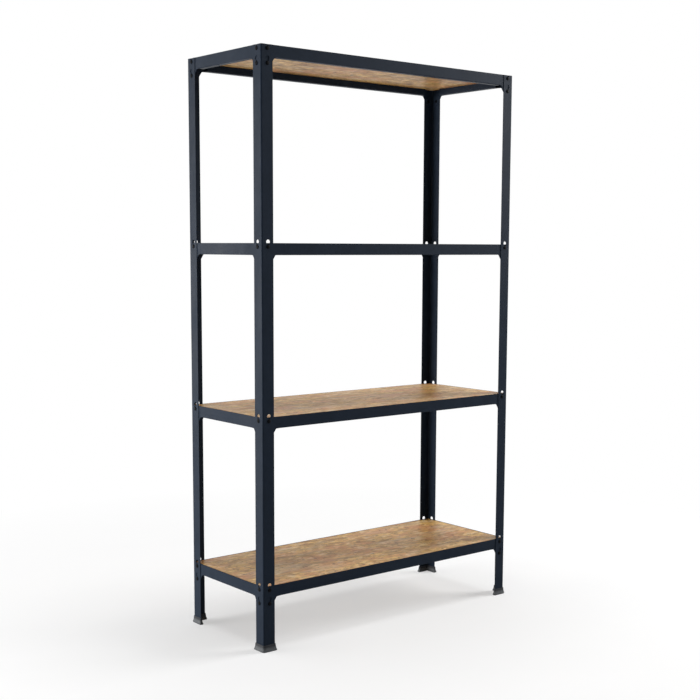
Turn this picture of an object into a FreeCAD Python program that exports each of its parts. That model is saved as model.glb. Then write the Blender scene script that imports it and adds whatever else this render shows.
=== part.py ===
"""Four-tier boltless shelving unit: steel angle posts, folded beams, boards and moulded feet.

Frame: X is the width, Y the depth with the front at -Y, Z up. The origin is on the floor,
below the middle of the unit. Millimetres.
"""

import FreeCAD
import Part
import Sketcher

import math
import os
import re

OUT = "parts"

# Driving dimensions: alias, value, what it measures.
SIZES = [
    ("width", 760, "outside of the posts, left to right"),
    ("depth", 292, "outside of the posts, front to rear"),
    ("height", 1320, "floor to the top edge of the posts"),
    ("level_bottom", 148, "floor to the beam tops of the bottom level"),
    ("level_lower", 526, "floor to the beam tops of the second level"),
    ("level_upper", 904, "floor to the beam tops of the third level"),
    ("post_flange", 30, "outside width of each flange of a post"),
    ("post_wall", 1.2, "sheet thickness of a post"),
    ("post_fold", 1.8, "inside radius of a post's fold"),
    ("rivet_inset", 16.5, "post corner to the middle of a rivet"),
    ("rivet_depth", 8, "beam top down to the first rivet"),
    ("rivet_pitch", 31, "first rivet down to the second"),
    ("rivet_shank", 5.6, "diameter of a rivet's shank"),
    ("rivet_head", 8.8, "diameter of a rivet's head"),
    ("rivet_head_rise", 1.7, "thickness of a rivet's head"),
    ("slot_play", 0.4, "clearance round a shank in the narrow part of a keyhole"),
    ("head_play", 0.6, "clearance round a head in the round part of a keyhole"),
    ("keyhole_rise", 2.5, "beam top up to the middle of the round part of a keyhole"),
    ("beam_web", 26, "height of a beam's outer face"),
    ("beam_wall", 1, "sheet thickness of a beam"),
    ("beam_bend", 1.4, "outside radius of a beam's folds, which are sharp inside"),
    ("beam_flange", 15, "outside depth of a beam's channel"),
    ("end_play", 1.5, "clearance between a post's fold and the end of a beam"),
    ("channel_gap", 13, "edge of a post to the start of a beam's channel"),
    ("plate_margin", 8, "second rivet to the bottom edge of an end plate"),
    ("plate_clip", 3, "cut across the outer bottom corner of an end plate"),
    ("toe_cover", 7, "edge of a post back to the foot of a gusset's slant"),
    ("gusset_step", 6.5, "edge of a post to a gusset's corner at the beam's bottom edge"),
    ("gusset_round", 4, "radius between a gusset and the beam's bottom edge"),
    ("board_thick", 10, "thickness of a board"),
    ("board_play", 2, "clearance between a board's edge and the beams"),
    ("foot_height", 15.5, "height of a foot"),
    ("foot_floor", 4, "foot thickness under the post"),
    ("foot_sole", 2.5, "height of a foot's upright sole edge"),
    ("foot_flare", 4.2, "post face to the edge of the sole"),
    ("foot_collar", 1.6, "post face to the outside of the collar at its top"),
    ("foot_clip", 1.3, "cut across the upright corners of a collar's two tips"),
    ("foot_play", 0.2, "clearance between a post and its socket"),
]

# Dimensions that follow from the driving ones: alias, formula, what it measures.
DERIVED = [
    ("post_bend", "post_fold + post_wall", "outside radius of a post's fold"),
    ("keyhole_slot", "rivet_shank + 2 * slot_play", "width of a keyhole's narrow part"),
    ("keyhole_round", "rivet_head + 2 * head_play", "diameter of a keyhole's round part"),
    ("beam_end", "post_bend + end_play", "post corner to the end of a beam"),
    ("channel_start", "post_flange + channel_gap", "post corner to a beam's channel"),
    ("plate_drop", "rivet_depth + rivet_pitch + plate_margin",
     "beam top down to the bottom of an end plate"),
    ("gusset_foot", "post_flange - toe_cover", "post corner to the foot of a gusset"),
    ("gusset_reach", "post_flange + gusset_step", "post corner to the top of a gusset"),
    ("board_inset", "post_wall + beam_wall + board_play",
     "outside of the posts to a board's edge"),
    ("sole_clip", "foot_clip + (2 - sqrt(2)) * (foot_flare - foot_collar)",
     "cut across the upright corners of a sole's two tips"),
]

# Corners of the unit: name, sign of X, sign of Y, turn of a post from the front left corner.
CORNERS = [
    ("front_left", -1, -1, 0),
    ("front_right", 1, -1, 90),
    ("rear_right", 1, 1, 180),
    ("rear_left", -1, 1, 270),
]

# Depths of the rivets in a beam's ends, below the beam's top.
ONE_RIVET = ["rivet_depth"]
TWO_RIVETS = ["rivet_depth", "rivet_depth + rivet_pitch"]

# Levels: name, height of the beam tops, depths of the rivets.
LEVELS = [
    ("bottom", "level_bottom", TWO_RIVETS),
    ("lower", "level_lower", ONE_RIVET),
    ("upper", "level_upper", ONE_RIVET),
    ("top", "height", TWO_RIVETS),
]

doc = FreeCAD.newDocument("shelving_unit")
sheet = doc.addObject("Spreadsheet::Sheet", "sizes")
for row, (alias, size, meaning) in enumerate(SIZES, 1):
    sheet.set(f"A{row}", meaning)
    sheet.set(f"B{row}", str(size))
    sheet.setAlias(f"B{row}", alias)
for row, (alias, formula, meaning) in enumerate(DERIVED, len(SIZES) + 1):
    sheet.set(f"A{row}", meaning)
    sheet.set(f"B{row}", f"={formula}")
    sheet.setAlias(f"B{row}", alias)
doc.recompute()
ALIASES = {entry[0] for entry in SIZES + DERIVED}
parts = []


def linked(formula):
    """A formula written in aliases, as an expression that reads the sheet."""
    return re.sub(r"[a-z_]+", lambda word: f"sizes.{word.group()}" if word.group() in ALIASES
                  else word.group(), str(formula))


def value(formula):
    """The present value of a formula, in plain millimetres."""
    return float(sheet.evalExpression(linked(formula)))


def bind(item, name, formula):
    """Bind a property of an object to the sheet."""
    item.setExpression(name, linked(formula))


# ---------------------------------------------------------------- sketches

def new_body(label):
    """An empty body that is written as a part of its own."""
    body = doc.addObject("PartDesign::Body", label)
    body.Label = label
    parts.append(body)
    return body


def new_sketch(body, name, plane, offset=None):
    """A sketch on one of the body's own origin planes, moved along the normal by a formula."""
    sketch = body.newObject("Sketcher::SketchObject", name)
    support = [item for item in body.Origin.OriginFeatures if item.Role == plane][0]
    sketch.AttachmentSupport = [(support, "")]
    sketch.MapMode = "FlatFace"
    if offset:
        bind(sketch, "AttachmentOffset.Base.z", offset)
    return sketch


def fix(sketch, element, x, y):
    """Bind a point of a sketch, given as (geometry, end), to two formulas."""
    for axis, kind, formula in ((-2, "DistanceX", x), (-1, "DistanceY", y)):
        if str(formula) == "0":
            sketch.addConstraint(Sketcher.Constraint("PointOnObject", *element, axis))
        else:
            number = sketch.addConstraint(
                Sketcher.Constraint(kind, -1, 1, *element, value(formula)))
            bind(sketch, f"Constraints[{number}]", formula)


def fix_radius(sketch, element, radius):
    """Bind the radius of an arc or circle to a formula."""
    number = sketch.addConstraint(Sketcher.Constraint("Radius", element, value(radius)))
    bind(sketch, f"Constraints[{number}]", radius)


def outline(sketch, corners):
    """A closed outline of straight lines through corners (x, y, radius), counter-clockwise.

    Each entry is a formula. A corner whose radius is 0 stays sharp, and any other gets a
    tangent arc.
    """
    points = [FreeCAD.Vector(value(x), value(y), 0) for x, y, radius in corners]
    count = len(points)
    arrive, leave, arcs = [], [], []
    for i, (x, y, radius) in enumerate(corners):
        back = (points[i - 1] - points[i]).normalize()
        ahead = (points[(i + 1) % count] - points[i]).normalize()
        half = back.getAngle(ahead) / 2
        size = value(radius)
        arrive.append(points[i] + back * (size / math.tan(half)))
        leave.append(points[i] + ahead * (size / math.tan(half)))
        middle = points[i] + (back + ahead).normalize() * (size / math.sin(half))
        turns_left = back.cross(ahead).z < 0
        arcs.append((size, middle, turns_left))
    for i in range(count):
        sketch.addGeometry(Part.LineSegment(leave[i], arrive[(i + 1) % count]))
    for i, (x, y, radius) in enumerate(corners):
        size, middle, turns_left = arcs[i]
        before = (i - 1) % count
        if not size:
            sketch.addConstraint(Sketcher.Constraint("Coincident", before, 2, i, 1))
            fix(sketch, (i, 1), x, y)
            continue
        first, last = (arrive[i], leave[i]) if turns_left else (leave[i], arrive[i])
        start = math.atan2(first.y - middle.y, first.x - middle.x)
        sweep = math.atan2(last.y - middle.y, last.x - middle.x) - start
        circle = Part.Circle(middle, FreeCAD.Vector(0, 0, 1), size)
        arc = sketch.addGeometry(Part.ArcOfCircle(circle, start, start + sweep % math.tau))
        corner = sketch.addGeometry(Part.Point(points[i]), True)
        starts, ends = (1, 2) if turns_left else (2, 1)
        sketch.addConstraint(Sketcher.Constraint("Tangent", before, 2, arc, starts))
        sketch.addConstraint(Sketcher.Constraint("Tangent", arc, ends, i, 1))
        sketch.addConstraint(Sketcher.Constraint("PointOnObject", corner, 1, before))
        sketch.addConstraint(Sketcher.Constraint("PointOnObject", corner, 1, i))
        fix(sketch, (corner, 1), x, y)
        fix_radius(sketch, arc, radius)


def keyhole(sketch, x, beam_top):
    """A round hole that narrows into a slot below it, about a beam top's height.

    The lower end of the slot, which the rivet's head covers, has three flats in place of
    an arc.
    """
    up = FreeCAD.Vector(0, 0, 1)
    centre_y = f"{beam_top} + keyhole_rise"
    slot_y = f"{beam_top} - rivet_depth"
    side = "keyhole_slot / 2"
    corner = f"{side} * tan(22.5 deg)"
    bottom = [
        (f"{x} - {side}", f"{slot_y} - {corner}"),
        (f"{x} - {corner}", f"{slot_y} - {side}"),
        (f"{x} + {corner}", f"{slot_y} - {side}"),
        (f"{x} + {side}", f"{slot_y} - {corner}"),
    ]
    radius = value("keyhole_round / 2")
    neck = math.acos(value(side) / radius)
    circle = Part.Circle(FreeCAD.Vector(value(x), value(centre_y), 0), up, radius)
    arc = sketch.addGeometry(Part.ArcOfCircle(circle, -neck, math.pi + neck))
    fix(sketch, (arc, 3), x, centre_y)
    fix_radius(sketch, arc, "keyhole_round / 2")
    neck_y = value(centre_y) - radius * math.sin(neck)
    points = [FreeCAD.Vector(value(px), value(py), 0) for px, py in bottom]
    points.insert(0, FreeCAD.Vector(points[0].x, neck_y, 0))
    points.append(FreeCAD.Vector(points[-1].x, neck_y, 0))
    lines = [sketch.addGeometry(Part.LineSegment(points[i], points[i + 1])) for i in range(5)]
    for line, (px, py) in zip(lines, bottom):
        sketch.addConstraint(Sketcher.Constraint("Coincident", line, 2, line + 1, 1))
        fix(sketch, (line, 2), px, py)
    sketch.addConstraint([
        Sketcher.Constraint("Vertical", lines[0]),
        Sketcher.Constraint("Vertical", lines[4]),
        Sketcher.Constraint("Coincident", arc, 2, lines[0], 1),
        Sketcher.Constraint("Coincident", lines[4], 2, arc, 1),
    ])


# ---------------------------------------------------------------- features

def pad(body, sketch, length, reverse=False):
    """Add a prism on a sketch, along its normal, or against it when reversed."""
    feature = body.newObject("PartDesign::Pad", f"{sketch.Name}_pad")
    feature.Profile = sketch
    feature.Reversed = reverse
    bind(feature, "Length", length)
    sketch.Visibility = False
    return feature


def cut(body, sketch, length=None, reverse=False):
    """Cut a sketch into the body against its normal, or along it when reversed."""
    doc.recompute()
    volume = body.Shape.Volume
    feature = body.newObject("PartDesign::Pocket", f"{sketch.Name}_cut")
    feature.Profile = sketch
    feature.Reversed = reverse
    if length:
        bind(feature, "Length", length)
    else:
        feature.Type = "ThroughAll"
    sketch.Visibility = False
    doc.recompute()
    if body.Shape.Volume >= volume:
        raise RuntimeError(f"{feature.Name} cuts nothing")
    return feature


def place(item, x, y, z, turn=0):
    """Stand a part in the unit: its base point as formulas, and its turn about Z."""
    item.Placement = FreeCAD.Placement(
        FreeCAD.Vector(0, 0, 0), FreeCAD.Rotation(FreeCAD.Vector(0, 0, 1), turn))
    for axis, formula in zip("xyz", (x, y, z)):
        bind(item, f"Placement.Base.{axis}", formula)


# ---------------------------------------------------------------- posts and feet

def socket_outline():
    """The L of a post's section with the clearance of its socket round it."""
    low = "-foot_play"
    tip = "post_flange + foot_play"
    inside = "post_wall + foot_play"
    return [
        (low, low, "post_bend + foot_play"),
        (tip, low, 0),
        (tip, inside, 0),
        (inside, inside, "post_fold"),
        (inside, tip, 0),
        (low, tip, 0),
    ]


def foot_outline():
    """The L of a foot's sole, which reaches past the faces of its post, with clipped tips."""
    low = "-foot_flare"
    tip = "post_flange + foot_flare"
    inside = "post_wall + foot_flare"
    return [
        (low, low, "post_bend + foot_flare"),
        (f"{tip} - sole_clip", low, 0),
        (tip, f"{low} + sole_clip", 0),
        (tip, f"{inside} - sole_clip", 0),
        (f"{tip} - sole_clip", inside, 0),
        (inside, inside, 0),
        (inside, f"{tip} - sole_clip", 0),
        (f"{inside} - sole_clip", tip, 0),
        (f"{low} + sole_clip", tip, 0),
        (low, f"{tip} - sole_clip", 0),
    ]


def keyhole_heights():
    """The height above a post's lower end of the beam top that each keyhole would hold."""
    for name, level, depths in LEVELS:
        for depth in depths:
            yield f"{level} - foot_floor + rivet_depth - ({depth})"


def make_post(name, side_x, side_y, turn):
    """A corner post: folded angle with keyholes in both flanges.

    The keyholes of the top level break out of the post's upper end, so that the last
    beams drop in from above.
    """
    body = new_body(f"post_{name}")
    section = new_sketch(body, f"section_{name}", "XY_Plane")
    outline(section, [
        ("0", "0", "post_bend"),
        ("post_flange", "0", 0),
        ("post_flange", "post_wall", 0),
        ("post_wall", "post_wall", "post_fold"),
        ("post_wall", "post_flange", 0),
        ("0", "post_flange", 0),
    ])
    pad(body, section, "height - foot_floor")
    for plane, reverse in (("XZ_Plane", False), ("YZ_Plane", True)):
        holes = new_sketch(body, f"keyholes_{plane[:2].lower()}_{name}", plane)
        for beam_top in keyhole_heights():
            keyhole(holes, "rivet_inset", beam_top)
        cut(body, holes, reverse=reverse)
    place(body, f"{side_x} * width / 2", f"{side_y} * depth / 2", "foot_floor", turn)


def make_foot(name, side_x, side_y, turn):
    """A moulded foot: an angle-shaped cap that flares out to its sole, with a socket."""
    body = new_body(f"foot_{name}")
    sole = new_sketch(body, f"sole_{name}", "XY_Plane")
    outline(sole, foot_outline())
    block = pad(body, sole, "foot_height")
    doc.recompute()
    top = [f"Face{n}" for n, face in enumerate(block.Shape.Faces, 1)
           if face.normalAt(0, 0).z > 0.5]
    flank = body.newObject("PartDesign::Chamfer", f"flank_{name}")
    flank.Base = (block, top)
    flank.ChamferType = "Two distances"
    bind(flank, "Size", "foot_height - foot_sole")
    bind(flank, "Size2", "foot_flare - foot_collar")
    socket = new_sketch(body, f"socket_{name}", "XY_Plane", "foot_height")
    outline(socket, socket_outline())
    cut(body, socket, "foot_height - foot_floor")
    place(body, f"{side_x} * width / 2", f"{side_y} * depth / 2", "0", turn)


# ---------------------------------------------------------------- beams

def web_outline(span):
    """The flat of a beam: its web and the two end plates with their gussets.

    x runs along the beam from the corner of one post to the corner of the other, and y
    is measured up from the beam's top edge.
    """
    left = [
        ("beam_end", "0", 0),
        ("beam_end", "plate_clip - plate_drop", 0),
        ("beam_end + plate_clip", "-plate_drop", 0),
        ("gusset_foot", "-plate_drop", 0),
        ("gusset_reach", "-beam_web", "gusset_round"),
        ("channel_start", "-beam_web", 0),
        ("channel_start", "beam_bend - beam_web", 0),
    ]
    right = [(f"{span} - ({x})", y, radius) for x, y, radius in reversed(left)]
    return left + right


def channel_outline():
    """Section of a beam: web, fold, bottom flange, fold and the upright board rest."""
    return [
        ("0", "0", 0),
        ("0", "-beam_web", "beam_bend"),
        ("beam_flange", "-beam_web", "beam_bend"),
        ("beam_flange", "-board_thick", 0),
        ("beam_flange - beam_wall", "-board_thick", 0),
        ("beam_flange - beam_wall", "beam_wall - beam_web", 0),
        ("beam_wall", "beam_wall - beam_web", 0),
        ("beam_wall", "0", 0),
    ]


def make_beam(label, span, x, y, level, turn):
    """A folded beam with an end plate behind the flange of the post at each end."""
    body = new_body(label)
    web = new_sketch(body, f"web_{label}", "XZ_Plane")
    outline(web, web_outline(span))
    pad(body, web, "beam_wall", reverse=True)
    channel = new_sketch(body, f"channel_{label}", "YZ_Plane", "channel_start")
    outline(channel, channel_outline())
    pad(body, channel, f"{span} - 2 * channel_start")
    place(body, x, y, level, turn)


def make_level_beams(name, level):
    """The front, rear, left and right beams of a level, against the insides of the posts."""
    half_x = "width / 2"
    half_y = "depth / 2"
    make_beam(f"beam_front_{name}", "width", f"-{half_x}", f"post_wall - {half_y}", level, 0)
    make_beam(f"beam_rear_{name}", "width", half_x, f"{half_y} - post_wall", level, 180)
    make_beam(f"beam_right_{name}", "depth", f"{half_x} - post_wall", f"-{half_y}", level, 90)
    make_beam(f"beam_left_{name}", "depth", f"post_wall - {half_x}", half_y, level, 270)


# ---------------------------------------------------------------- boards and rivets

def make_board(name, level):
    """A loose board that lies on the board rests, level with the beam tops."""
    body = new_body(f"board_{name}")
    far_x = "width / 2 - board_inset"
    far_y = "depth / 2 - board_inset"
    face = new_sketch(body, f"face_{name}", "XY_Plane")
    outline(face, [
        (f"-({far_x})", f"-({far_y})", 0),
        (far_x, f"-({far_y})", 0),
        (far_x, far_y, 0),
        (f"-({far_x})", far_y, 0),
    ])
    pad(body, face, "board_thick")
    place(body, "0", "0", f"{level} - board_thick")


def make_rivet():
    """One rivet, pointing out along +Z from the outer face of a post at Z = 0.

    Its shank crosses the post's wall and ends on the beam. The head has eight sides and
    the hidden shank six, because the unit has so many of them.
    """
    body = doc.addObject("PartDesign::Body", "rivet")
    for part, sides, first, height, reverse in (
            ("head", 8, 22.5, "rivet_head_rise", False),
            ("shank", 6, 15, "post_wall", True)):
        sketch = new_sketch(body, f"rivet_{part}_sides", "XY_Plane")
        radius = f"rivet_{part} / 2"
        turns = [first + 360 / sides * n for n in range(sides)]
        outline(sketch, [
            (f"{radius} * cos({turn} deg)", f"{radius} * sin({turn} deg)", 0)
            for turn in turns
        ])
        pad(body, sketch, height, reverse)
    doc.recompute()
    return body.Shape


def make_rivet_group(rivet, name, level, depths):
    """All rivets of a level, as separate solids: one row in each flange of each post."""
    up = FreeCAD.Vector(0, 0, 1)
    inset = value("rivet_inset")
    flanges = (
        (FreeCAD.Vector(inset, 0, 0), FreeCAD.Vector(0, -1, 0)),
        (FreeCAD.Vector(0, inset, 0), FreeCAD.Vector(-1, 0, 0)),
    )
    solids = []
    for corner, side_x, side_y, turn in CORNERS:
        post = FreeCAD.Placement(
            FreeCAD.Vector(side_x * value("width / 2"), side_y * value("depth / 2"), 0),
            FreeCAD.Rotation(up, turn))
        for foot_point, outward in flanges:
            for depth in depths:
                seat = FreeCAD.Placement(
                    foot_point - up * value(depth), FreeCAD.Rotation(up, outward))
                solid = rivet.copy()
                solid.Placement = post * seat
                solids.append(solid)
    group = doc.addObject("Part::Feature", f"rivets_{name}")
    group.Label = f"rivets_{name}"
    group.Shape = Part.makeCompound(solids)
    place(group, "0", "0", level)
    parts.append(group)


# ---------------------------------------------------------------- the unit

for corner in CORNERS:
    make_post(*corner)
    make_foot(*corner)
for name, level, depths in LEVELS:
    make_level_beams(name, level)
    make_board(name, level)
rivet_shape = make_rivet()
for name, level, depths in LEVELS:
    make_rivet_group(rivet_shape, name, level, depths)
doc.recompute()

for item in doc.Objects:
    if "Invalid" in item.State or "Error" in item.State:
        raise RuntimeError(f"{item.Name} is {item.State}")
    if item.TypeId == "Sketcher::SketchObject" and not item.FullyConstrained:
        raise RuntimeError(f"{item.Name} is not fully constrained")
for item in parts:
    if item.Shape.isNull() or not item.Shape.isValid():
        raise RuntimeError(f"{item.Label} has no valid shape")

os.makedirs(OUT, exist_ok=True)
for item in parts:
    item.Shape.exportStep(f"{OUT}/{item.Label}.step")
print(f"{len(parts)} parts, {sum(len(item.Shape.Solids) for item in parts)} solids")
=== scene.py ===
"""Looks of a four-tier boltless shelving unit: powder-coated steel, particleboard, plastic feet.

Lengths are in metres. Angles are in degrees where they are named, and in radians inside calls.
"""

import math
from collections import namedtuple

import bmesh
import bpy
from mathutils import Matrix, Vector


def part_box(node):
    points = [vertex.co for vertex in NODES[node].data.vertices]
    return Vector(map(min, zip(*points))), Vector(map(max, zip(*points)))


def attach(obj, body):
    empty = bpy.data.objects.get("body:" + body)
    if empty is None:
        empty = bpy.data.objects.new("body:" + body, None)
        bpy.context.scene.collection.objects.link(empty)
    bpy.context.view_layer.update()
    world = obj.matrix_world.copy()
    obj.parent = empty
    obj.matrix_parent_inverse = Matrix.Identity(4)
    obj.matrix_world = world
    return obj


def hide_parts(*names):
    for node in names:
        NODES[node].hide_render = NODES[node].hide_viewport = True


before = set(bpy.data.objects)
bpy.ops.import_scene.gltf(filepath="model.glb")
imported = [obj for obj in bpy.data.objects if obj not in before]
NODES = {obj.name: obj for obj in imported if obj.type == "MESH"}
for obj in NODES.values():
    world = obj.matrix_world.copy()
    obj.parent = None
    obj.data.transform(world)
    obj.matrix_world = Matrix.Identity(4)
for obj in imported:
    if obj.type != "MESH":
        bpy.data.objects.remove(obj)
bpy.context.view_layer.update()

# Each corner's turn about the vertical, from the front left one.
CORNERS = {"front_left": 0, "front_right": 90, "rear_right": 180, "rear_left": 270}
# The rivets one above the other at a beam's end, by level.
LEVELS = {"bottom": 2, "lower": 1, "upper": 1, "top": 2}

# Sizes of the CAD that the rivets and feet have to fit.
POST_FLANGE = 0.030
POST_WALL = 0.0012
POST_BEND = 0.003
RIVET_INSET = 0.0165
RIVET_DEPTH = 0.008
RIVET_PITCH = 0.031


# ---------------------------------------------------------------- node trees

def add(tree, kind, inputs=None, **props):
    """A node with its properties set, and its inputs given as values or as sockets to link."""
    item = tree.nodes.new(f"ShaderNode{kind}")
    for name, setting in props.items():
        setattr(item, name, setting)
    for key, source in (inputs or {}).items():
        if isinstance(source, bpy.types.NodeSocket):
            tree.links.new(source, item.inputs[key])
        else:
            item.inputs[key].default_value = source
    return item


def srgb(red, green, blue):
    """A colour written as it shows on a screen, 0 to 255, in linear light."""
    linear = [c / 12.92 if c <= 0.04045 else ((c + 0.055) / 1.055) ** 2.4
              for c in (red / 255, green / 255, blue / 255)]
    return (*linear, 1.0)


def grey(level):
    """A neutral colour, from 0 to 1 in linear light."""
    return (level, level, level, 1.0)


def new_tree(name):
    """A new material and its empty node tree."""
    material = bpy.data.materials.new(name)
    material.use_nodes = True
    material.node_tree.nodes.clear()
    return material, material.node_tree


def mapped(tree, vector, scale, turn=0):
    """Coordinates scaled per axis, then turned about Z."""
    inputs = {"Vector": vector, "Scale": scale, "Rotation": (0, 0, math.radians(turn))}
    return add(tree, "Mapping", inputs).outputs[0]


def own_coordinates(tree, scale=(1, 1, 1)):
    """The piece's own coordinates, scaled per axis."""
    return mapped(tree, add(tree, "TexCoord").outputs["Object"], scale)


def noise(tree, scale, detail, rough, distortion=0.0, stretch=(1, 1, 1), vector=None):
    """Noise from 0 to 1, at a scale in cells per metre."""
    inputs = {"Vector": vector or own_coordinates(tree, stretch), "Scale": scale,
              "Detail": detail, "Roughness": rough, "Distortion": distortion}
    return add(tree, "TexNoise", inputs).outputs["Fac"]


def ranged(tree, source, span, result=(0.0, 1.0)):
    """A value mapped from one range to another, and held inside it."""
    inputs = {"Value": source, "From Min": span[0], "From Max": span[1],
              "To Min": result[0], "To Max": result[1]}
    return add(tree, "MapRange", inputs).outputs[0]


def maths(tree, operation, first, second=0.0):
    """The result of a Math node on two values or sockets."""
    return add(tree, "Math", {0: first, 1: second}, operation=operation).outputs[0]


def blend_colours(tree, factor, first, second):
    """A mix of two colours, given as colours or as sockets."""
    mix = add(tree, "Mix", {0: factor, 6: first, 7: second}, data_type="RGBA")
    return mix.outputs[2]


def tinted(tree, colour, tint, mask, span, most=1.0):
    """A colour with a tint over it where a mask passes through a range, up to a share of it."""
    return blend_colours(tree, ranged(tree, mask, span, (0.0, most)), colour, tint)


# The cosine between a face's normal and its rounded one, from a flat to a full edge.
FLAT_TO_EDGE = (1.0, 0.86)


def patchy_edge_mask(tree, radius, patches):
    """1 on sharp edges and 0 on flats, broken up by noise in a range."""
    rounded = add(tree, "Bevel", {"Radius": radius}, samples=6).outputs[0]
    plain = add(tree, "NewGeometry").outputs["Normal"]
    facing = add(tree, "VectorMath", {0: rounded, 1: plain}, operation="DOT_PRODUCT")
    edge = ranged(tree, facing.outputs["Value"], FLAT_TO_EDGE)
    broken = ranged(tree, noise(tree, 42, detail=5, rough=0.7), patches)
    return maths(tree, "MULTIPLY", edge, broken)


def bump(tree, height, strength, distance, normal=None):
    """A bump's normal, on top of another if one is given."""
    inputs = {"Height": height, "Strength": strength, "Distance": distance}
    if normal:
        inputs["Normal"] = normal
    return add(tree, "Bump", inputs).outputs[0]


def surface(tree, colour, roughness, normal, specular):
    """The Principled shader and the output, with the specular level on the shader's socket."""
    shader = add(tree, "BsdfPrincipled", {"Base Color": colour, "Roughness": roughness,
                                          "Normal": normal, "Specular IOR Level": specular})
    add(tree, "OutputMaterial", {"Surface": shader.outputs[0]})


# ---------------------------------------------------------------- materials

def powder_coat(name, dark, light, rubbed_and_highlit, specular):
    """Satin powder coat: orange peel, cloudy colour, rubbed edges with a painted highlight, and
    dull handling marks.
    """
    material, tree = new_tree(name)
    clouds = noise(tree, 26, detail=5, rough=0.6)
    grains = noise(tree, 1500, detail=2, rough=0.5)
    colour = tinted(tree, dark, light, clouds, (0.32, 0.68))
    colour = tinted(tree, colour, light, grains, (0.62, 0.78), most=0.35)
    edges = patchy_edge_mask(tree, radius=0.0007, patches=(0.42, 0.72))
    # Lighter on the edges: rubbed paint, and also a painted highlight along them.
    colour = blend_colours(tree, maths(tree, "MULTIPLY", edges, 0.55), colour, rubbed_and_highlit)
    marks = noise(tree, 14, detail=6, rough=0.62, distortion=0.4, stretch=(1, 1, 0.35))
    roughness = ranged(tree, marks, (0.3, 0.7), (0.40, 0.56))
    roughness = maths(tree, "SUBTRACT", roughness, maths(tree, "MULTIPLY", edges, 0.1))
    peel = noise(tree, 620, detail=2, rough=0.45)
    normal = bump(tree, peel, strength=0.5, distance=0.00022)
    normal = bump(tree, grains, strength=0.3, distance=0.00008, normal=normal)
    surface(tree, colour, roughness, normal, specular)
    return material


# A layer of strands: cells per metre, how long a strand is for its width, the turn of the
# pattern that keeps the layers apart, the share of the board covered, darkest and lightest tan.
Layer = namedtuple("Layer", "scale length turn cover dark light")
BASE_STRANDS = Layer(120, 1.3, 70, 1.00, srgb(177, 132, 69), srgb(235, 191, 107))
STRANDS_OVER_IT = [
    Layer(150, 2.4, -48, 0.45, srgb(168, 125, 67), srgb(242, 203, 127)),
    Layer(180, 2.8, 62, 0.35, srgb(156, 114, 64), srgb(230, 184, 108)),
    Layer(135, 2.8, 12, 0.40, srgb(178, 133, 71), srgb(244, 207, 129)),
]

# A noise that tints the board where it passes through a span, up to the most.
Patch = namedtuple("Patch", "scale detail rough distortion stretch span most tint")
PATCHES = {
    "streaks": Patch(14, 6, 0.65, 0.8, (0.3, 1.6, 1), (0.48, 0.62), 0.65, srgb(148, 108, 66)),
    "mottle": Patch(45, 5, 0.60, 0.5, (0.6, 0.9, 1), (0.50, 0.64), 0.60, srgb(138, 97, 56)),
    "blush": Patch(24, 4, 0.60, 0.0, (0.5, 1, 1), (0.46, 0.64), 0.55, srgb(206, 138, 96)),
    "ash": Patch(17, 4, 0.60, 0.3, (0.4, 1.2, 1), (0.50, 0.66), 0.38, srgb(208, 186, 160)),
    "specks": Patch(95, 4, 0.65, 0.0, (1, 0.6, 1), (0.58, 0.66), 0.75, srgb(92, 56, 34)),
    "chips": Patch(60, 4, 0.65, 0.0, (0.45, 1, 1), (0.55, 0.66), 0.60, srgb(238, 214, 170)),
}


FIBRE_SQUEEZE = 0.07
TONE_SPREAD = 1.15
FIBRE_SHADE = 0.30
STRAND_FADE = 0.02


def strands(tree, own, shifted, layer):
    """A layer of strands: its colour, where it shows, and the distance from their middles."""
    along = mapped(tree, shifted, (1 / layer.length, 1.0, 1.0), layer.turn)
    cells = add(tree, "TexVoronoi", {"Vector": along, "Scale": layer.scale, "Randomness": 1.0})
    lots = add(tree, "SeparateColor", {0: cells.outputs["Color"]}).outputs
    fibres = mapped(tree, own, (FIBRE_SQUEEZE, 1.0, 1.0), layer.turn)
    grain = ranged(tree, noise(tree, 560, detail=3, rough=0.6, vector=fibres), (0.35, 0.7))
    tone = maths(tree, "SUBTRACT", maths(tree, "MULTIPLY", lots[0], TONE_SPREAD),
                 maths(tree, "MULTIPLY", grain, FIBRE_SHADE))
    colour = tinted(tree, layer.dark, layer.light, tone, (0, 1))
    bare = 1 - layer.cover
    shows = ranged(tree, lots[1], (bare - STRAND_FADE, bare + STRAND_FADE))
    return colour, shows, cells.outputs["Distance"]


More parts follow.
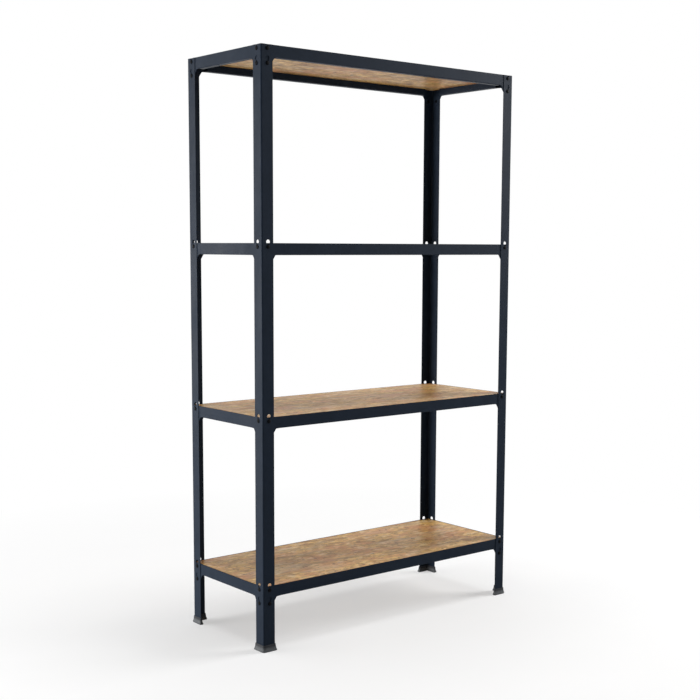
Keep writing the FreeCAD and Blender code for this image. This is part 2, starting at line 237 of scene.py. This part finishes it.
def particleboard():
    """Pressed board: tan strands lengthwise, streaks and patches, specks, chips, raw edges."""
    material, tree = new_tree("particleboard_look")
    own = own_coordinates(tree)
    drift = noise(tree, 60, detail=3, rough=0.5, distortion=0.3)
    bend = add(tree, "VectorMath", {0: drift, "Scale": 0.004}, operation="SCALE").outputs[0]
    shifted = add(tree, "VectorMath", {0: own, 1: bend}, operation="ADD").outputs[0]

    colour, _, rim = strands(tree, own, shifted, BASE_STRANDS)
    for layer in STRANDS_OVER_IT:
        other, shows, from_middle = strands(tree, own, shifted, layer)
        colour = blend_colours(tree, maths(tree, "MULTIPLY", shows, 0.8), colour, other)
        rim = maths(tree, "MAXIMUM", rim, maths(tree, "MULTIPLY", from_middle, shows))

    masks = {}
    for name, patch in PATCHES.items():
        masks[name] = noise(tree, patch.scale, patch.detail, patch.rough, patch.distortion,
                            patch.stretch)
        colour = tinted(tree, colour, patch.tint, masks[name], patch.span, patch.most)

    # The cut edges show the crumbs of the core.
    facing = add(tree, "NewGeometry").outputs["True Normal"]
    upward = add(tree, "SeparateXYZ", {0: facing}).outputs["Z"]
    side = ranged(tree, maths(tree, "ABSOLUTE", upward), (0.8, 0.5))
    crumbs = noise(tree, 480, detail=5, rough=0.75)
    raw = tinted(tree, srgb(132, 93, 53), srgb(220, 169, 105), crumbs, (0.35, 0.65))
    colour = blend_colours(tree, side, colour, raw)

    sheen = maths(tree, "ADD", masks["mottle"], crumbs)
    roughness = ranged(tree, sheen, (0.7, 1.3), (0.36, 0.52))
    roughness = maths(tree, "ADD", roughness, maths(tree, "MULTIPLY", side, 0.35))
    normal = bump(tree, rim, strength=0.15, distance=0.0003)
    torn = maths(tree, "MULTIPLY", crumbs, side)
    normal = bump(tree, torn, strength=0.8, distance=0.0008, normal=normal)
    surface(tree, colour, roughness, normal, specular=0.24)
    return material


# The heights between which a foot darkens into painted shade on its collar.
COLLAR_SHADE_RISE = (0.0075, 0.0115)


def moulded_plastic():
    """Matt grey plastic: spark-eroded grain, scuffed rims, and painted shade darkening the
    collar round the post.
    """
    material, tree = new_tree("moulded_foot_look")
    clouds = noise(tree, 90, detail=4, rough=0.6)
    grain = noise(tree, 1300, detail=3, rough=0.6)
    colour = tinted(tree, srgb(73, 75, 78), srgb(91, 94, 96), clouds, (0.3, 0.7))
    colour = tinted(tree, colour, srgb(121, 123, 124), grain, (0.5, 0.8), most=0.4)
    height = add(tree, "SeparateXYZ", {0: own_coordinates(tree)}).outputs["Z"]
    # Painted shade: the collar darkens towards its top.
    colour = tinted(tree, colour, srgb(41, 43, 47), height, COLLAR_SHADE_RISE)
    edges = patchy_edge_mask(tree, radius=0.0006, patches=(0.4, 0.7))
    scuffs = maths(tree, "MULTIPLY", edges, 0.4)
    colour = blend_colours(tree, scuffs, colour, srgb(134, 136, 138))
    roughness = ranged(tree, grain, (0.3, 0.7), (0.5, 0.68))
    normal = bump(tree, grain, strength=0.35, distance=0.0001)
    surface(tree, colour, roughness, normal, specular=0.2)
    return material


# The lighter edge colours stand for rubbed paint and for a painted highlight.
STEEL = powder_coat("powder_coat_look", dark=srgb(25, 35, 48), light=srgb(31, 41, 55),
                    rubbed_and_highlit=srgb(55, 68, 88), specular=0.07)
RIVET = powder_coat("rivet_coat_look", dark=srgb(5, 6, 8), light=srgb(9, 10, 13),
                    rubbed_and_highlit=srgb(34, 37, 42), specular=0.04)
BOARD = particleboard()
PLASTIC = moulded_plastic()


# ---------------------------------------------------------------- CAD nodes that stay

# Points nearer than the distance are joined, faces that meet at less than the flat angle
# become one, and edges sharper than the edge angle are rounded.
WELD_DISTANCE = 0.000002
FLAT_ANGLE = 1
EDGE_ANGLE = 40
EDGE_SEGMENTS = 2
SHEET_ROUNDING = 0.0002
BOARD_ROUNDING = 0.0005

# The material and the edges' rounding of the CAD nodes that stay, by the start of the name.
FINISHES = {
    "post": (STEEL, SHEET_ROUNDING),
    "beam": (STEEL, SHEET_ROUNDING),
    "board": (BOARD, BOARD_ROUNDING),
}


def soften(obj, width):
    """Round a node's sharp edges, so that they catch the light."""
    obj.modifiers.new("weld", "WELD").merge_threshold = WELD_DISTANCE
    flats = obj.modifiers.new("flats", "DECIMATE")
    flats.decimate_type = "DISSOLVE"
    flats.angle_limit = math.radians(FLAT_ANGLE)
    bevel = obj.modifiers.new("edges", "BEVEL")
    bevel.width = width
    bevel.segments = EDGE_SEGMENTS
    bevel.limit_method = "ANGLE"
    bevel.angle_limit = math.radians(EDGE_ANGLE)
    bevel.harden_normals = True


for name, obj in NODES.items():
    kind = name.split("_")[0]
    if kind in FINISHES:
        material, rounding = FINISHES[kind]
        obj.material_slots[0].material = material
        soften(obj, rounding)


# ---------------------------------------------------------------- pieces that replace nodes

def make_piece(name, mesh, material, nodes):
    """A finished piece in the scene, which rides on the root and stands for CAD nodes."""
    data = bpy.data.meshes.new(name)
    bmesh.ops.recalc_face_normals(mesh, faces=mesh.faces)
    mesh.to_mesh(data)
    mesh.free()
    data.materials.append(material)
    obj = bpy.data.objects.new(name, data)
    bpy.context.scene.collection.objects.link(obj)
    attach(obj, "root")
    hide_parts(*nodes)


def smooth(mesh, angle):
    """Shade a mesh smooth except across edges sharper than an angle."""
    for face in mesh.faces:
        face.smooth = True
    for edge in mesh.edges:
        edge.smooth = edge.is_manifold and edge.calc_face_angle(0) < math.radians(angle)


def corner_place(corner):
    """The transform from the front left post's outer corner to a corner of the unit."""
    low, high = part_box(f"post_{corner}")
    x = high.x if "right" in corner else low.x
    y = high.y if "rear" in corner else low.y
    turn = math.radians(CORNERS[corner])
    return Matrix.Translation((x, y, 0)) @ Matrix.Rotation(turn, 4, "Z")


RIVET_SIDES = 28
RIVET_SHARP_ANGLE = 50
# Turns that point a rivet's +Z out of the front and the end flange of the front left post.
FACING_FRONT = Matrix.Rotation(math.radians(90), 4, "X")
FACING_END = Matrix.Rotation(math.radians(-90), 4, "Y")
# The radius and the height above the post's face, from the inner end to the dome's top.
RIVET_PROFILE = [
    (0.0000, -0.00295), (0.0011, -0.00300), (0.0017, -0.00325), (0.0027, -0.00330),
    (0.0034, -0.00305), (0.0037, -0.00265), (0.0038, -0.00222), (0.0028, -0.00220),
    (0.0028, 0.00000), (0.0041, 0.00003), (0.0044, 0.00025), (0.0044, 0.00060),
    (0.0042, 0.00095), (0.0037, 0.00130), (0.0029, 0.00154), (0.0018, 0.00166),
    (0.0000, 0.00170),
]


def add_rivet(mesh, place):
    """One domed rivet along +Z of a transform: outer head, shank and swaged inner end."""
    rings = []
    for radius, height in RIVET_PROFILE:
        count = RIVET_SIDES if radius else 1
        turns = [math.tau * n / count for n in range(count)]
        points = [(radius * math.cos(turn), radius * math.sin(turn), height) for turn in turns]
        rings.append([mesh.verts.new(place @ Vector(point)) for point in points])
    for first, second in zip(rings, rings[1:]):
        for n in range(RIVET_SIDES):
            corners = [first[n % len(first)], first[(n + 1) % len(first)],
                       second[(n + 1) % len(second)], second[n % len(second)]]
            mesh.faces.new(list(dict.fromkeys(corners)))


def make_rivets(level, count):
    """All rivets of a level, in both flanges of each post."""
    mesh = bmesh.new()
    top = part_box(f"beam_front_{level}")[1].z
    for corner in CORNERS:
        place = corner_place(corner)
        for n in range(count):
            z = top - RIVET_DEPTH - RIVET_PITCH * n
            add_rivet(mesh, place @ Matrix.Translation((RIVET_INSET, 0, z)) @ FACING_FRONT)
            add_rivet(mesh, place @ Matrix.Translation((0, RIVET_INSET, z)) @ FACING_END)
    smooth(mesh, RIVET_SHARP_ANGLE)
    make_piece(f"domed_rivets_{level}", mesh, RIVET, [f"rivets_{level}"])


FOOT_SHARP_ANGLE = 40
FOOT_NOOK = 0.0007
# From the sole up the outside and down into the socket: the height, how far the L stands out
# of the post all round, and the rounding at the tips of its arms.
FOOT_RINGS = [
    (0.0000, 0.0036, 0.0020), (0.0003, 0.0040, 0.0022), (0.0008, 0.0042, 0.0023),
    (0.0024, 0.0042, 0.0023), (0.0029, 0.0040, 0.0022), (0.0036, 0.0036, 0.0021),
    (0.0052, 0.0030, 0.0018), (0.0075, 0.0024, 0.0015), (0.0105, 0.0019, 0.0012),
    (0.0140, 0.0016, 0.0011), (0.0150, 0.0015, 0.0010), (0.0155, 0.0012, 0.0008),
    (0.0155, 0.0006, 0.0004), (0.0153, 0.0003, 0.0002), (0.0150, 0.0002, 0.0001),
    (0.0040, 0.0002, 0.0001),
]


def foot_ring(out, tip_round):
    """The points of a foot's L at one height, standing out of the post by a length all round."""
    low = -out
    tip = POST_FLANGE + out
    inside = POST_WALL + out
    turn = POST_BEND + out
    # Each arc: the centre, the radius, the first and the last angle, the steps.
    arcs = [
        (low + turn, low + turn, turn, 180, 270, 8),
        (tip - tip_round, low + tip_round, tip_round, 270, 360, 5),
        (tip - tip_round, inside - tip_round, tip_round, 0, 90, 5),
        (inside + FOOT_NOOK, inside + FOOT_NOOK, FOOT_NOOK, 270, 180, 4),
        (inside - tip_round, tip - tip_round, tip_round, 0, 90, 5),
        (low + tip_round, tip - tip_round, tip_round, 90, 180, 5),
    ]
    points = []
    for x, y, radius, first, last, steps in arcs:
        for n in range(steps + 1):
            angle = math.radians(first + (last - first) * n / steps)
            points.append((x + radius * math.cos(angle), y + radius * math.sin(angle)))
    return points


def make_foot(corner):
    """A moulded foot: rounded sole, hollow flare, soft rim and the socket round the post."""
    mesh = bmesh.new()
    place = corner_place(corner)
    rings = [[mesh.verts.new(place @ Vector((x, y, z))) for x, y in foot_ring(out, tip_round)]
             for z, out, tip_round in FOOT_RINGS]
    count = len(rings[0])
    for lower, upper in zip(rings, rings[1:]):
        for n in range(count):
            mesh.faces.new((lower[n], lower[(n + 1) % count], upper[(n + 1) % count], upper[n]))
    mesh.faces.new(list(reversed(rings[0])))
    mesh.faces.new(rings[-1])
    smooth(mesh, FOOT_SHARP_ANGLE)
    make_piece(f"moulded_foot_{corner}", mesh, PLASTIC, [f"foot_{corner}"])


for level, count in LEVELS.items():
    make_rivets(level, count)
for corner in CORNERS:
    make_foot(corner)


# ---------------------------------------------------------------- camera, floor and light

# The photograph's camera, solved on the unit's straight edges. The picture is square.
PHOTO_PIXELS = 700
FOCAL_PIXELS = 1224.4
SHIFT_PIXELS = (-6.37, 41.82)
SENSOR_WIDTH = 36
CAMERA_PLACE = (-1.8901, -2.3134, 0.8977)
CAMERA_TURN, CAMERA_TILT, CAMERA_ROLL = -39.276, 6.776, 0.233

FLOOR_RADIUS = 14
FLOOR_SIDES = 96
FLOOR_DROP = 0.0003


def make_camera():
    """The photograph's camera: place, turn, tilt, roll and framing."""
    turn, tilt, roll = (math.radians(a) for a in (CAMERA_TURN, CAMERA_TILT, CAMERA_ROLL))
    ahead = Vector((-math.sin(turn) * math.cos(tilt), math.cos(turn) * math.cos(tilt),
                    -math.sin(tilt)))
    right = ahead.cross(Vector((0, 0, 1))).normalized()
    up = right.cross(ahead)
    across = math.cos(roll) * right + math.sin(roll) * up
    upward = math.cos(roll) * up - math.sin(roll) * right
    data = bpy.data.cameras.new("camera")
    data.sensor_width = SENSOR_WIDTH
    data.lens = FOCAL_PIXELS * SENSOR_WIDTH / PHOTO_PIXELS
    data.shift_x = SHIFT_PIXELS[0] / PHOTO_PIXELS
    data.shift_y = SHIFT_PIXELS[1] / PHOTO_PIXELS
    camera = bpy.data.objects.new("camera", data)
    axes = Matrix((across, upward, -ahead)).transposed().to_4x4()
    camera.matrix_world = Matrix.Translation(CAMERA_PLACE) @ axes
    bpy.context.scene.collection.objects.link(camera)
    bpy.context.scene.camera = camera


def shows_background(tree):
    """1 for rays that show the background: from the camera, mirrored or through glass."""
    path = add(tree, "LightPath")
    shown = maths(tree, "MAXIMUM", path.outputs["Is Camera Ray"], path.outputs["Is Glossy Ray"])
    return maths(tree, "MAXIMUM", shown, path.outputs["Is Transmission Ray"])


def make_floor():
    """A round pale floor that takes the shadow and runs out into the white background.

    Rays that don't show it find it darker, most of all near the unit, so it lights that less.
    """
    mesh = bmesh.new()
    bmesh.ops.create_circle(mesh, cap_ends=True, segments=FLOOR_SIDES, radius=FLOOR_RADIUS)
    data = bpy.data.meshes.new("floor")
    mesh.to_mesh(data)
    mesh.free()
    floor = bpy.data.objects.new("floor", data)
    floor.location.z = -FLOOR_DROP
    bpy.context.scene.collection.objects.link(floor)
    material, tree = new_tree("floor_paint")
    own = add(tree, "TexCoord").outputs["Object"]
    away = add(tree, "VectorMath", {0: own}, operation="LENGTH").outputs["Value"]
    seen = shows_background(tree)
    dust = noise(tree, 5, detail=3, rough=0.5)
    painted = tinted(tree, grey(0.93), grey(0.95), dust, (0.3, 0.7))
    bounced = tinted(tree, grey(0.36), grey(0.62), away, (0.6, 1.6))
    tone = blend_colours(tree, seen, bounced, painted)
    paint = add(tree, "BsdfDiffuse", {"Color": tone})
    white = add(tree, "Emission", {"Color": grey(1.0), "Strength": 1.0})
    fade = ranged(tree, away, (0.5, 1.6), (0.5, 1.0))
    factor = maths(tree, "MULTIPLY", fade, seen)
    mix = add(tree, "MixShader", {0: factor, 1: paint.outputs[0], 2: white.outputs[0]})
    add(tree, "OutputMaterial", {"Surface": mix.outputs[0]})
    data.materials.append(material)


def make_world():
    """Soft even fill, and plain white where the background shows."""
    world = bpy.data.worlds.new("studio")
    world.use_nodes = True
    tree = world.node_tree
    tree.nodes.clear()
    fill = add(tree, "Background", {"Color": (0.96, 0.98, 1.0, 1.0), "Strength": 0.02})
    white = add(tree, "Background", {"Color": grey(1.0), "Strength": 1.0})
    mix = add(tree, "MixShader", {0: shows_background(tree), 1: fill.outputs[0],
                                  2: white.outputs[0]})
    add(tree, "OutputWorld", {"Surface": mix.outputs[0]})
    bpy.context.scene.world = world


def make_lamp(name, place, aim, width, height, power):
    """A softbox at a place, facing a point, with its power in watts. No camera sees it."""
    lamp = bpy.data.lights.new(name, "AREA")
    lamp.shape = "RECTANGLE"
    lamp.size, lamp.size_y = width, height
    lamp.energy = power
    obj = bpy.data.objects.new(name, lamp)
    obj.visible_camera = False
    obj.location = place
    facing = Vector(aim) - Vector(place)
    obj.rotation_euler = facing.to_track_quat("-Z", "Y").to_euler()
    bpy.context.scene.collection.objects.link(obj)


make_camera()
make_floor()
make_world()
make_lamp("softbox_back", place=(-3.4, 3.3, 0.85), aim=(0, 0, 0.3),
          width=4.5, height=1.6, power=113)
make_lamp("softbox_left", place=(-4.6, 1.6, 0.9), aim=(0, 0, 0.2),
          width=3.0, height=1.8, power=88)
make_lamp("softbox_low", place=(-1.5, 0.35, 0.12), aim=(-0.38, 0, 0.12),
          width=0.9, height=0.2, power=6.5)
make_lamp("softbox_right", place=(2.8, -1.1, 1.9), aim=(0, 0, 1.0),
          width=1.6, height=1.6, power=94)
make_lamp("softbox_top", place=(0.0, 0.2, 7.0), aim=(0, 0, 0),
          width=4.2, height=4.2, power=260)
bpy.context.scene.view_settings.view_transform = "Standard"
